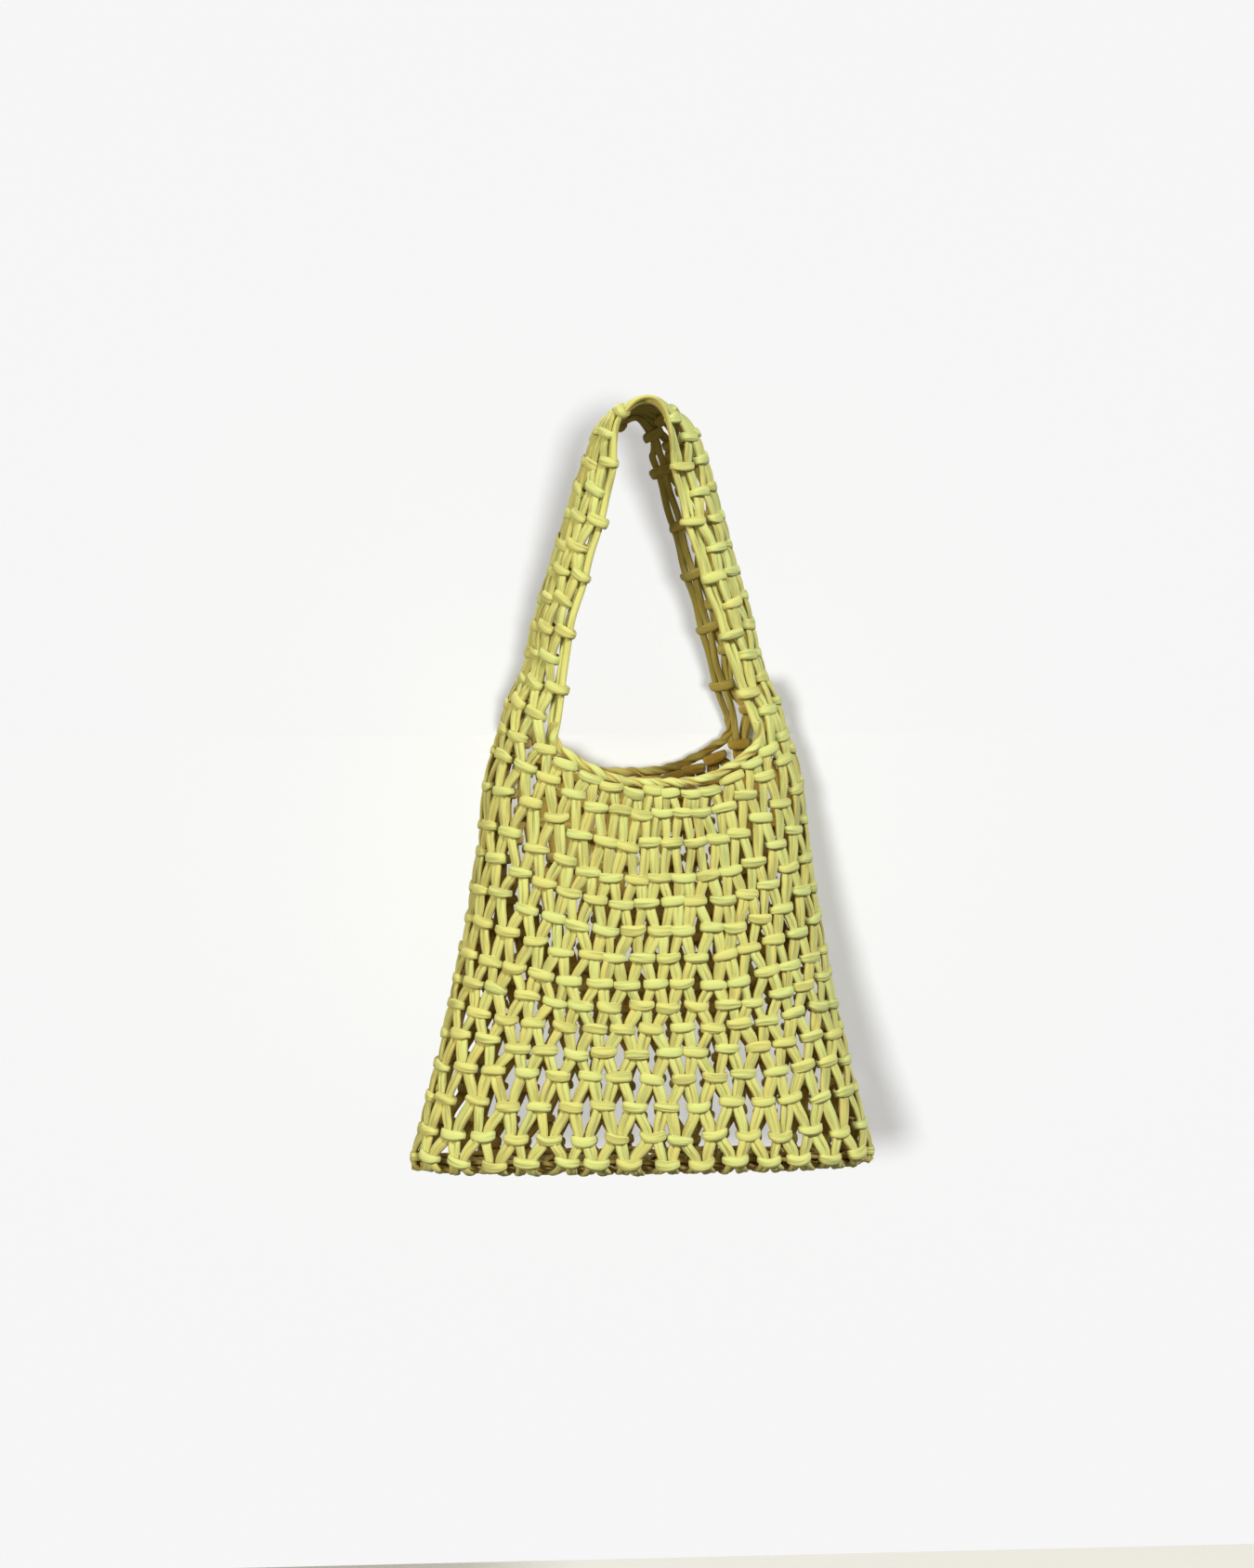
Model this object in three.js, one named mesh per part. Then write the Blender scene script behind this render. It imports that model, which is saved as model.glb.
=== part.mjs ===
// A small hand-knotted tote bag, hanging from the top of its handle.
// It is an open net of alternating square knots in soft jersey cord, worked in the round below the mouth.
// The net of both sides carries on upwards as one band, which is the handle.
// Millimetres, +Z up, front at -Y. The origin is the underside of the handle's crown, where a hook or a hand carries it.

import * as THREE from "three";

// Thickness and clearances
const wall = 6; // knotted net, through the knots
const seamGap = 0.3; // between neighbouring pieces
const rimCord = 7; // diameter of the cord along each mouth edge

// Body, measured to the middle of the net
const mouthHalfWidth = 93;
const mouthHalfDepth = 38;
const baseHalfWidth = 138.5;
const baseHalfDepth = 43;
const flarePower = 1.4; // above 1, the body widens faster near the base
const shoulder = 1.5; // how steeply the ends of the mouth narrow towards the handle
const bodyHeight = 228; // from the middle of the mouth edge down to the base
const mouthSag = 36; // how far the middle of the mouth hangs below its ends
const mouthFlatness = 1.9; // above 1, the middle of the mouth is flatter and its ends are steeper
const mouthGather = 9; // how far the mouth's four corners are drawn in towards the middle, along the net
const gatherFade = 4; // above 1, the gathering fades faster below the mouth
const ovalPower = 2.3; // 2 is an ellipse, and more is squarer

// Handle, measured to the middle of the net
const handleDrop = 215.5; // from the origin down to the middle of the mouth edge
const handleHalfDepth = 23;
const handleReach = 20; // how far the band's two edges curl in towards the opening
const crownRoll = 16; // degrees that the crown leans, with its back edge lower

// The hanging bag is slightly twisted: its front leans to the right of its back, most of all at the mouth.
// Each value is a sideways shift as a share of the depth.
const crownSkew = 0.1;
const mouthSkew = 0.2;

// The net, in columns of knots round the bag
const columns = 30;
const handleColumns = 5;
const frontColumns = columns / 2 - handleColumns;
const frontEdge = frontColumns / 2; // column where the front panel meets the side
const sideMiddle = columns / 4;

// The gaps in each piece: rhombic cells across and along, and half sizes as shares of a cell
const panelCells = { across: 10, along: 8 };
const sideCells = { across: 4, along: 8 };
const handleCells = { across: 4, along: 24 };
const baseCells = { across: 12, along: 4 };
const netGap = { halfWidth: 0.6, halfHeight: 0.62 };
const handleGap = { halfWidth: 0.42, halfHeight: 0.62 };
const closedCrownCells = 4; // cells on each side of the crown that have no gap

// The handle from its crown (at 0) to the mouth's end (at 1), as shares of its half length. Pairs are [left, right].
// spread: share of its half width at the mouth. fall: share of its height. wrap: half angle of the curled section.
const handleSections = [
  { at: 0.0, spread: [0, 0], fall: 0.0, reach: [0.1, 0.1], depth: 0.96, wrap: 40, roll: 1.0 },
  { at: 0.09, spread: [-0.215, 0.22], fall: 0.034, reach: [0.28, 0.7], depth: 0.94, wrap: 55, roll: 0.85 },
  { at: 0.162, spread: [-0.338, 0.36], fall: 0.096, reach: [0.55, 1.15], depth: 0.93, wrap: 72, roll: 0.5 },
  { at: 0.266, spread: [-0.43, 0.45], fall: 0.208, reach: [0.74, 1.25], depth: 0.95, wrap: 85, roll: 0.15 },
  { at: 0.531, spread: [-0.639, 0.639], fall: 0.5, reach: [0.76, 1.22], depth: 1.0, wrap: 90, roll: 0.0 },
  { at: 0.711, spread: [-0.775, 0.775], fall: 0.697, reach: [0.76, 1.2], depth: 1.06, wrap: 85, roll: 0.0 },
  { at: 0.87, spread: [-0.845, 0.845], fall: 0.874, reach: [0.8, 1.15], depth: 1.14, wrap: 70, roll: 0.0 },
  { at: 1.0, spread: [-1, 1], fall: 1.0, reach: [1.3, 1.3], depth: 1.2, wrap: 55, roll: 0.0 },
];
const handleBlendsFrom = 0.72; // from here down, the handle eases into the body's own surface

const { lerp, clamp, smoothstep, degToRad } = THREE.MathUtils;

const mouthLength = Math.PI * (mouthHalfWidth + mouthHalfDepth); // about its length round
const mouthPitch = mouthLength / columns;

// Plan shape: a point on an oval, at a share of its perimeter counted from the front middle towards +X.
// Equal shares are equal lengths of net.
function ovalPoint(halfWidth, halfDepth, share) {
  const steps = 48;
  const quarter = [new THREE.Vector2(0, -halfDepth)];
  const lengths = [0];
  for (let k = 1; k <= steps; k++) {
    const angle = (k / steps) * (Math.PI / 2);
    const x = halfWidth * Math.sin(angle) ** (2 / ovalPower);
    const y = k === steps ? 0 : -halfDepth * Math.cos(angle) ** (2 / ovalPower);
    quarter.push(new THREE.Vector2(x, y));
    lengths.push(lengths[k - 1] + quarter[k].distanceTo(quarter[k - 1]));
  }
  const turn = (share - Math.floor(share)) * 4;
  const index = Math.min(Math.floor(turn), 3);
  const within = index % 2 ? 1 - (turn - index) : turn - index;
  const target = within * lengths[steps];
  const k = Math.max(1, lengths.findIndex((length) => length >= target));
  const part = (target - lengths[k - 1]) / (lengths[k] - lengths[k - 1]);
  const point = quarter[k - 1].clone().lerp(quarter[k], part);
  return new THREE.Vector2(index < 2 ? point.x : -point.x, index === 0 || index === 3 ? point.y : -point.y);
}

// Shifts a point sideways by the twist at its height.
function skewed(point) {
  const skew =
    point.z > -handleDrop
      ? lerp(mouthSkew, crownSkew, smoothstep(point.z, -handleDrop, 0))
      : mouthSkew * smoothstep(point.z, -handleDrop - bodyHeight, -handleDrop);
  point.x -= point.y * skew;
  return point;
}

// Body surface: fall is 0 at the mouth edge and 1 at the base.
function bodyPoint(column, fall) {
  const turn = (4 * Math.PI * column) / columns;
  const level = smoothstep(fall, 0, 1);
  const sag = mouthSag * (1 - level) * ((1 - Math.cos(turn)) / 2) ** mouthFlatness;
  const z = -handleDrop - bodyHeight * fall + sag;
  const depth = (-z - handleDrop) / bodyHeight;
  const flare = depth < 0 ? shoulder * depth : depth ** flarePower;
  const gather = (mouthGather / mouthLength) * Math.sin(turn) * clamp(1 - fall, 0, 1) ** gatherFade;
  const plan = ovalPoint(
    lerp(mouthHalfWidth, baseHalfWidth, flare),
    lerp(mouthHalfDepth, baseHalfDepth, depth),
    column / columns - gather,
  );
  return skewed(new THREE.Vector3(plan.x, plan.y, z));
}

// One column of the handle's table at a signed distance from the crown, on a smooth curve
function handleValue(name, at) {
  const value = (row, side) => (Array.isArray(row[name]) ? row[name][side] : row[name]);
  const rows = handleSections
    .slice(1)
    .reverse()
    .map((row) => [-row.at, value(row, 0)])
    .concat(handleSections.map((row) => [row.at, value(row, 1)]));
  const slope = (k) => {
    const low = rows[Math.max(k - 1, 0)];
    const high = rows[Math.min(k + 1, rows.length - 1)];
    return (high[1] - low[1]) / (high[0] - low[0]);
  };
  let k = 0;
  while (k < rows.length - 2 && rows[k + 1][0] < at) k++;
  const [start, from] = rows[k];
  const [end, to] = rows[k + 1];
  const span = end - start;
  const t = (at - start) / span;
  return (
    from * (1 + 2 * t) * (1 - t) ** 2 +
    slope(k) * span * t * (1 - t) ** 2 +
    to * t * t * (3 - 2 * t) +
    slope(k + 1) * span * t * t * (t - 1)
  );
}

// The lower edge of the leaning crown rests on the origin.
const mouthEnd = bodyPoint(sideMiddle, 0);
const crown = handleSections[0];
const crownLean = degToRad(crownRoll * crown.roll);
const crownHeight =
  (wall / 2 + handleReach * crown.reach[0]) * Math.cos(crownLean) +
  handleHalfDepth * crown.depth * Math.sin(crownLean);
const handleHeight = crownHeight - mouthEnd.z;

// The handle's middle line, at a signed distance from the crown: +1 is the right end, and -1 the left.
function handleMiddle(at) {
  return new THREE.Vector2(mouthEnd.x * handleValue("spread", at), crownHeight - handleHeight * handleValue("fall", at));
}

const handleHalfLength = (() => {
  const steps = 200;
  let length = 0;
  for (let k = 0; k < steps; k++) length += handleMiddle(k / steps).distanceTo(handleMiddle((k + 1) / steps));
  return length;
})();

// Handle surface: across is 0 at its front edge and 1 at its back edge.
function handlePoint(across, at) {
  const near = 1e-3;
  const middle = handleMiddle(at);
  const tangent = handleMiddle(at + near).sub(handleMiddle(at - near)).normalize();
  const outward = new THREE.Vector2(-tangent.y, tangent.x);
  const wrap = degToRad(handleValue("wrap", at));
  const angle = (2 * across - 1) * wrap;
  const curl = (handleReach * handleValue("reach", at) * (1 - Math.cos(angle))) / (1 - Math.cos(wrap));
  const widest = Math.sin(Math.min(wrap, Math.PI / 2));
  const sideways = (handleHalfDepth * handleValue("depth", at) * Math.sin(angle)) / widest;
  const roll = degToRad(crownRoll * handleValue("roll", at));
  const out = -curl * Math.cos(roll) - sideways * Math.sin(roll);
  const y = sideways * Math.cos(roll) - curl * Math.sin(roll);
  const band = skewed(new THREE.Vector3(middle.x + outward.x * out, y, middle.y + outward.y * out));
  const blend = smoothstep(Math.abs(at), handleBlendsFrom, 1);
  if (blend === 0) return band;
  const column = Math.sign(at) * (frontEdge + handleColumns * across);
  const fall = ((Math.abs(at) - 1) * handleHalfLength) / bodyHeight;
  return band.lerp(bodyPoint(column, fall), blend);
}

// The unit normal of a surface, from its slopes in both directions
function normalOf(surface, p, q) {
  const near = 1e-3;
  const alongP = surface(p + near, q).sub(surface(p - near, q));
  const alongQ = surface(p, q + near).sub(surface(p, q - near));
  return alongP.cross(alongQ).normalize();
}

// The flat pattern of a net: triangles in cell units, with knots where across + along is even
// and a gap in the middle of each rhombus between four knots.
function netPattern({ across, along }, gap, isOpen) {
  const triangles = [];
  const ring = [
    [1, 0],
    [0.5, 0.5],
    [0, 1],
    [-0.5, 0.5],
    [-1, 0],
    [-0.5, -0.5],
    [0, -1],
    [0.5, -0.5],
  ];
  const roundness = 1.16; // pushes the slanted sides of a gap out, so that it is an oval rhombus
  for (let i = 0; i <= across; i++)
    for (let j = 0; j <= along; j++) {
      if ((i + j) % 2 === 0) continue;
      const open = i > 0 && i < across && j > 0 && j < along && isOpen(i, j);
      ring.forEach(([di, dj], k) => {
        const [ei, ej] = ring[(k + 1) % ring.length];
        const a = [i + di, j + dj];
        const b = [i + ei, j + ej];
        const outside = ([p, q]) => p < 0 || p > across || q < 0 || q > along;
        if (outside(a) || outside(b)) return;
        if (!open) {
          triangles.push([[i, j], a, b]);
          return;
        }
        const inner = ([p, q]) => {
          const grow = p && q ? roundness : 1;
          return [i + p * gap.halfWidth * grow, j + q * gap.halfHeight * grow];
        };
        const c = inner([di, dj]);
        const d = inner([ei, ej]);
        triangles.push([a, b, c], [c, b, d]);
      });
    }
  return triangles;
}

// A closed solid: the pattern laid on a surface and given a thickness.
// place takes cell units to { point, normal }, with the normal at right angles to both, as across turned into along.
function netSolid(pattern, place, thickness) {
  const keys = new Map();
  const outer = [];
  const inner = [];
  const vertex = ([i, j]) => {
    const key = `${i.toFixed(4)},${j.toFixed(4)}`;
    if (!keys.has(key)) {
      keys.set(key, outer.length);
      const { point, normal } = place(i, j);
      outer.push(point.clone().addScaledVector(normal, thickness / 2));
      inner.push(point.clone().addScaledVector(normal, -thickness / 2));
    }
    return keys.get(key);
  };
  const faces = pattern.map((triangle) => triangle.map(vertex));
  const count = outer.length;
  const index = [];
  const directed = new Set();
  for (const face of faces) face.forEach((a, k) => directed.add(`${a},${face[(k + 1) % 3]}`));
  for (const [a, b, c] of faces) {
    index.push(a, b, c);
    index.push(count + a, count + c, count + b);
    for (const [from, to] of [
      [a, b],
      [b, c],
      [c, a],
    ]) {
      if (directed.has(`${to},${from}`)) continue;
      // the shorter diagonal, so that two pieces which meet at a twisted seam are split alike
      const falling = outer[to].distanceTo(inner[from]) < outer[from].distanceTo(inner[to]);
      if (falling) index.push(to, from, count + from, to, count + from, count + to);
      else index.push(to, from, count + to, from, count + from, count + to);
    }
  }
  const geometry = new THREE.BufferGeometry();
  geometry.setFromPoints([...outer, ...inner]);
  geometry.setIndex(index);
  geometry.computeVertexNormals();
  return geometry;
}

// A wall of the body between two columns. Its lower edge is level, so that it stands on the base.
function bodyWall(fromColumn, toColumn, cells) {
  const inset = seamGap / 2 / mouthPitch;
  const topInset = seamGap / 2 / bodyHeight;
  const place = (i, j) => {
    const column = lerp(fromColumn + inset, toColumn - inset, i / cells.across);
    const fall = lerp(topInset, 1, j / cells.along);
    const normal = normalOf(bodyPoint, column, fall);
    normal.z *= 1 - fall;
    return { point: bodyPoint(column, fall), normal: normal.normalize() };
  };
  return netSolid(netPattern(cells, netGap, () => true), place, wall);
}

function handleBand() {
  const inset = seamGap / 2 / handleHalfLength;
  const edgeInset = seamGap / 2 / (2 * handleHalfDepth);
  const crownCell = handleCells.along / 2;
  const place = (i, j) => {
    const across = lerp(edgeInset, 1 - edgeInset, i / handleCells.across);
    const at = lerp(-1 + inset, 1 - inset, j / handleCells.along);
    return { point: handlePoint(across, at), normal: normalOf(handlePoint, across, at) };
  };
  const pattern = netPattern(handleCells, handleGap, (i, j) => Math.abs(j - crownCell) > closedCrownCells);
  return netSolid(pattern, place, wall);
}

// A flat oval net under the walls, as wide as their outer faces
function baseNet() {
  const endColumn = sideMiddle - 0.4;
  const level = -handleDrop - bodyHeight - seamGap - wall / 2;
  const up = new THREE.Vector3(0, 0, 1);
  const place = (i, j) => {
    const column = lerp(-endColumn, endColumn, i / baseCells.across);
    const plan = ovalPoint(baseHalfWidth + wall / 2, baseHalfDepth + wall / 2, column / columns);
    const y = lerp(plan.y, -plan.y, j / baseCells.along);
    return { point: new THREE.Vector3(plan.x, y, level), normal: up };
  };
  return netSolid(netPattern(baseCells, netGap, () => true), place, wall);
}

// The cord that edges the mouth, on top of the front or the back panel
function rimTube(middleColumn) {
  const stations = 15;
  const endGap = (rimCord / 4 + seamGap) / mouthPitch;
  const reach = frontEdge - endGap;
  const points = [];
  for (let k = 0; k < stations; k++) {
    const column = middleColumn + lerp(-reach, reach, k / (stations - 1));
    const near = 1e-3;
    const tangent = bodyPoint(column + near, 0).sub(bodyPoint(column - near, 0)).normalize();
    const normal = normalOf(bodyPoint, column, 0).negate();
    const upward = tangent.cross(normal).negate();
    points.push(bodyPoint(column, 0).addScaledVector(upward, rimCord / 2 + seamGap));
  }
  const section = new THREE.Shape().absarc(0, 0, rimCord / 2, 0, 2 * Math.PI);
  return new THREE.ExtrudeGeometry(section, {
    steps: 3 * stations,
    curveSegments: 5,
    bevelEnabled: false,
    extrudePath: new THREE.CatmullRomCurve3(points),
  });
}

const cordColor = 0xc9cc5e;
const shadedCordColor = 0xb9bb50;

function piece(name, geometry, color) {
  const mesh = new THREE.Mesh(geometry, new THREE.MeshStandardMaterial({ color, roughness: 0.9, metalness: 0 }));
  mesh.name = name;
  return mesh;
}

const back = columns / 2;
const tote = new THREE.Group();
tote.add(
  piece("front_net", bodyWall(-frontEdge, frontEdge, panelCells), cordColor),
  piece("back_net", bodyWall(back - frontEdge, back + frontEdge, panelCells), cordColor),
  piece("right_side_net", bodyWall(frontEdge, back - frontEdge, sideCells), cordColor),
  piece("left_side_net", bodyWall(-back + frontEdge, -frontEdge, sideCells), cordColor),
  piece("base_net", baseNet(), shadedCordColor),
  piece("handle_band", handleBand(), cordColor),
  piece("front_rim_cord", rimTube(0), cordColor),
  piece("back_rim_cord", rimTube(back), cordColor),
);

export default tote;
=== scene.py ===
import math

import bpy
import numpy as np
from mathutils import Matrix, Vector


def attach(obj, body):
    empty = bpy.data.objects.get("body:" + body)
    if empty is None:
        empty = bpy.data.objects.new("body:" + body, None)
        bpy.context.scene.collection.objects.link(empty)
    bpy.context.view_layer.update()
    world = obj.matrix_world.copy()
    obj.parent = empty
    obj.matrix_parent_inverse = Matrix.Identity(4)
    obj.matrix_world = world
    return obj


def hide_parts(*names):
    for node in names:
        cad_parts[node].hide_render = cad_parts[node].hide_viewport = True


# A small tote hand-knotted from flat jersey cord, hanging from the crown of its handle.
# Metres, +Z up, front at -Y. The net lies on the same surface as the solids that it replaces.

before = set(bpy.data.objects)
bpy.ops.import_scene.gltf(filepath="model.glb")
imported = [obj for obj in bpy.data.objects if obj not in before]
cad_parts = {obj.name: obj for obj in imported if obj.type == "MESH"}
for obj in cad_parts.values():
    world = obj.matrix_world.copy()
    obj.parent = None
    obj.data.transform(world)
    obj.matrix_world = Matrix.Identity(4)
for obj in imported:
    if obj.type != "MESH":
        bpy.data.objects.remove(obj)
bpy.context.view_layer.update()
rng = np.random.default_rng(11)

# Body, measured to the middle of the net
MOUTH_HALF_WIDTH = 0.093
MOUTH_HALF_DEPTH = 0.038
BASE_HALF_WIDTH = 0.1385
BASE_HALF_DEPTH = 0.043
FLARE_POWER = 1.4
SHOULDER = 1.5
BODY_HEIGHT = 0.228
MOUTH_SAG = 0.036
MOUTH_FLATNESS = 1.9
MOUTH_GATHER = 0.009
GATHER_FADE = 4
OVAL_POWER = 2.3
OVAL_STEPS = 48
BASE_LEVEL = -0.4460
CROWN_SKEW = 0.1
MOUTH_SKEW = 0.2

# Handle, measured to the middle of the net
WALL = 0.006
HANDLE_DROP = 0.2155
HANDLE_HALF_DEPTH = 0.023
HANDLE_REACH = 0.020
CROWN_ROLL = 16.0
HANDLE_BLENDS_FROM = 0.72
# The handle from its crown (0) to the mouth's end (1), as shares of its half length
STATIONS = (0.0, 0.09, 0.162, 0.266, 0.531, 0.711, 0.87, 1.0)
SPREAD_LEFT = (0.0, -0.215, -0.338, -0.43, -0.639, -0.775, -0.845, -1.0)
SPREAD_RIGHT = (0.0, 0.22, 0.36, 0.45, 0.639, 0.775, 0.845, 1.0)
FALL = (0.0, 0.034, 0.096, 0.208, 0.5, 0.697, 0.874, 1.0)
REACH_LEFT = (0.1, 0.28, 0.55, 0.74, 0.76, 0.76, 0.8, 1.3)
REACH_RIGHT = (0.1, 0.7, 1.15, 1.25, 1.22, 1.2, 1.15, 1.3)
DEPTH = (0.96, 0.94, 0.93, 0.95, 1.0, 1.06, 1.14, 1.2)
WRAP = (40.0, 55.0, 72.0, 85.0, 90.0, 85.0, 70.0, 55.0)
ROLL = (1.0, 0.85, 0.5, 0.15, 0.0, 0.0, 0.0, 0.0)

# The net: columns of knots round the bag, rows down the body, up the handle and across the base
COLUMNS = 30
HALF_ROUND = COLUMNS // 2
FRONT_EDGE = 5.0
SIDE_MIDDLE = 7.5
CROWN_ROW = -13
BOTTOM_ROW = 14
BACK_ROW = 18
# How far down the body each row of knots lies, as a share of its height
ROW_FALLS = (
    0.014, 0.067, 0.151, 0.235, 0.304, 0.376, 0.448, 0.515,
    0.573, 0.630, 0.693, 0.760, 0.834, 0.918, 0.985,
)
JITTER = 0.1  # how far a knot is out of line at most, in columns and rows

# The cord: a flat tape, two of them side by side in each leg between knots
NARROWEST_TAPE = 0.0032
WIDEST_TAPE = 0.0042
HANDLE_TAPE = 0.0044
TAPE_HALF_THICKNESS = 0.0014
LEAVES_AT = 0.0024  # how far beside the middle of a knot a leg leaves it
ENTERS_AT = 0.0029  # and how far beside the middle of the next knot it enters that one
LEG_TWIST = 18.0
TWIST_CHANGE = 16.0
EDGE_SHADE = 0.75  # below 1, the painted shade spreads from the tapes' inner faces onto their edges too
# How strongly the painted shade is laid on the handle's cord
HANDLE_PAINTED_SHADE = 0.7

# The bars: each knot's tape, laid round it in a flat loop
BODY_BAR_HALF_WIDTH = 0.0066
HANDLE_BAR_HALF_WIDTH = 0.0060
WIDE_BAR_HALF_WIDTH = 0.0068
BAR_HALF_HEIGHT = 0.0034
BAR_HALF_THICKNESS = 0.00125
BAR_LOOP_HALF_DEPTH = 0.0029
BAR_LOOP_POWER = 2.7
BAR_STATIONS = 22
BAR_TILT = 8.0
LEFT_HANDLE_LEAN = 15.0
RIGHT_HANDLE_LEAN = 5.0

# Long strands
# Each strand at a handle edge: columns in from the edge, height above the net, width and thickness
EDGE_STRANDS = ((0.15, 0.0, 0.0043, 0.0032), (0.42, -0.0016, 0.0042, 0.0030))
CROWN_TAPE = (0.0050, 0.0030)
BASE_TAPE = (0.0052, 0.0028)
RIM_TAPE = (0.0050, 0.0033)
RIM_TURN = 0.034  # how long one turn of the rim's two plies is


def smoothstep(x, low, high):
    t = np.clip((x - low) / (high - low), 0.0, 1.0)
    return t * t * (3.0 - 2.0 * t)


def lerp(a, b, t):
    return a + (b - a) * t


def unit(v):
    return v / np.maximum(np.linalg.norm(v, axis=-1, keepdims=True), 1e-12)


MOUTH_LENGTH = math.pi * (MOUTH_HALF_WIDTH + MOUTH_HALF_DEPTH)


def oval_point(half_width, half_depth, share):
    """Points on ovals, at a share of the perimeter counted from the front middle towards +X."""
    angle = np.linspace(0.0, math.pi / 2, OVAL_STEPS + 1)
    x = half_width[:, None] * np.sin(angle) ** (2 / OVAL_POWER)
    y = -half_depth[:, None] * np.maximum(np.cos(angle), 0.0) ** (2 / OVAL_POWER)
    y[:, -1] = 0.0
    steps = np.hypot(np.diff(x, axis=1), np.diff(y, axis=1))
    lengths = np.concatenate([np.zeros((len(x), 1)), np.cumsum(steps, axis=1)], axis=1)
    turn = (share - np.floor(share)) * 4
    index = np.minimum(np.floor(turn), 3).astype(int)
    within = np.where(index % 2 == 1, 1 - (turn - index), turn - index)
    target = within * lengths[:, -1]
    k = np.clip((lengths < target[:, None]).sum(axis=1), 1, OVAL_STEPS)
    row = np.arange(len(x))
    part = (target - lengths[row, k - 1]) / (lengths[row, k] - lengths[row, k - 1])
    px = lerp(x[row, k - 1], x[row, k], part)
    py = lerp(y[row, k - 1], y[row, k], part)
    return np.where(index < 2, px, -px), np.where((index == 0) | (index == 3), py, -py)


def skewed(point):
    """Shifts points sideways by the hanging bag's slight twist, most of all at the mouth."""
    z = point[:, 2]
    above = lerp(MOUTH_SKEW, CROWN_SKEW, smoothstep(z, -HANDLE_DROP, 0))
    below = MOUTH_SKEW * smoothstep(z, -HANDLE_DROP - BODY_HEIGHT, -HANDLE_DROP)
    point[:, 0] -= point[:, 1] * np.where(z > -HANDLE_DROP, above, below)
    return point


def body_point(column, fall):
    """The body's wall: fall is 0 at the mouth edge and 1 at the base."""
    turn = 4 * math.pi * column / COLUMNS
    sag = MOUTH_SAG * (1 - smoothstep(fall, 0, 1)) * ((1 - np.cos(turn)) / 2) ** MOUTH_FLATNESS
    z = -HANDLE_DROP - BODY_HEIGHT * fall + sag
    depth = (-z - HANDLE_DROP) / BODY_HEIGHT
    flare = np.where(depth < 0, SHOULDER * depth, np.abs(depth) ** FLARE_POWER)
    gather = MOUTH_GATHER / MOUTH_LENGTH * np.sin(turn) * np.clip(1 - fall, 0, 1) ** GATHER_FADE
    x, y = oval_point(
        lerp(MOUTH_HALF_WIDTH, BASE_HALF_WIDTH, flare),
        lerp(MOUTH_HALF_DEPTH, BASE_HALF_DEPTH, depth),
        column / COLUMNS - gather,
    )
    return skewed(np.stack([x, y, z], axis=-1))


def handle_value(left, right, at):
    """A value of the handle at signed distances from the crown, on a smooth curve."""
    s = np.array([-station for station in STATIONS[:0:-1]] + list(STATIONS))
    v = np.array(left[:0:-1] + right)
    low = np.maximum(np.arange(len(s)) - 1, 0)
    high = np.minimum(np.arange(len(s)) + 1, len(s) - 1)
    slope = (v[high] - v[low]) / (s[high] - s[low])
    k = np.clip(np.searchsorted(s, at) - 1, 0, len(s) - 2)
    span = s[k + 1] - s[k]
    t = (at - s[k]) / span
    start = v[k] * (1 + 2 * t) * (1 - t) ** 2 + slope[k] * span * t * (1 - t) ** 2
    return start + v[k + 1] * t * t * (3 - 2 * t) + slope[k + 1] * span * t * t * (t - 1)


MOUTH_END = body_point(np.array([SIDE_MIDDLE]), np.array([0.0]))[0]
CROWN_HEIGHT = (WALL / 2 + HANDLE_REACH * REACH_LEFT[0]) * math.cos(math.radians(CROWN_ROLL))
CROWN_HEIGHT += HANDLE_HALF_DEPTH * DEPTH[0] * math.sin(math.radians(CROWN_ROLL))


def handle_middle(at):
    x = MOUTH_END[0] * handle_value(SPREAD_LEFT, SPREAD_RIGHT, at)
    z = CROWN_HEIGHT - (CROWN_HEIGHT - MOUTH_END[2]) * handle_value(FALL, FALL, at)
    return np.stack([x, z], axis=-1)


def path_length(points):
    return float(np.linalg.norm(np.diff(points, axis=0), axis=1).sum())


HANDLE_HALF_LENGTH = path_length(handle_middle(np.linspace(0.0, 1.0, 201)))
ROW_ZERO_AT = 1 + ROW_FALLS[0] * BODY_HEIGHT / HANDLE_HALF_LENGTH


def handle_point(across, at):
    """The handle's band: across is 0 at its front edge and 1 at its back edge."""
    near = 1e-3
    inside = np.clip(at, -1.0, 1.0)
    middle = handle_middle(inside)
    tangent = unit(handle_middle(inside + near) - handle_middle(inside - near))
    outward = np.stack([-tangent[:, 1], tangent[:, 0]], axis=-1)
    wrap = np.radians(handle_value(WRAP, WRAP, inside))
    angle = (2 * across - 1) * wrap
    reach = HANDLE_REACH * handle_value(REACH_LEFT, REACH_RIGHT, inside)
    curl = reach * (1 - np.cos(angle)) / (1 - np.cos(wrap))
    widest = np.sin(np.minimum(wrap, math.pi / 2))
    half_depth = HANDLE_HALF_DEPTH * handle_value(DEPTH, DEPTH, inside)
    sideways = half_depth * np.sin(angle) / widest
    roll = np.radians(CROWN_ROLL * handle_value(ROLL, ROLL, inside))
    out = -curl * np.cos(roll) - sideways * np.sin(roll)
    y = sideways * np.cos(roll) - curl * np.sin(roll)
    x = middle[:, 0] + outward[:, 0] * out
    z = middle[:, 1] + outward[:, 1] * out
    band = skewed(np.stack([x, y, z], axis=-1))
    blend = smoothstep(np.abs(at), HANDLE_BLENDS_FROM, 1.0)[:, None]
    column = np.where(at < 0, -1, 1) * (FRONT_EDGE + 2 * (SIDE_MIDDLE - FRONT_EDGE) * across)
    fall = (np.abs(at) - 1) * HANDLE_HALF_LENGTH / BODY_HEIGHT
    return lerp(band, body_point(column, fall), blend)


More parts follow.
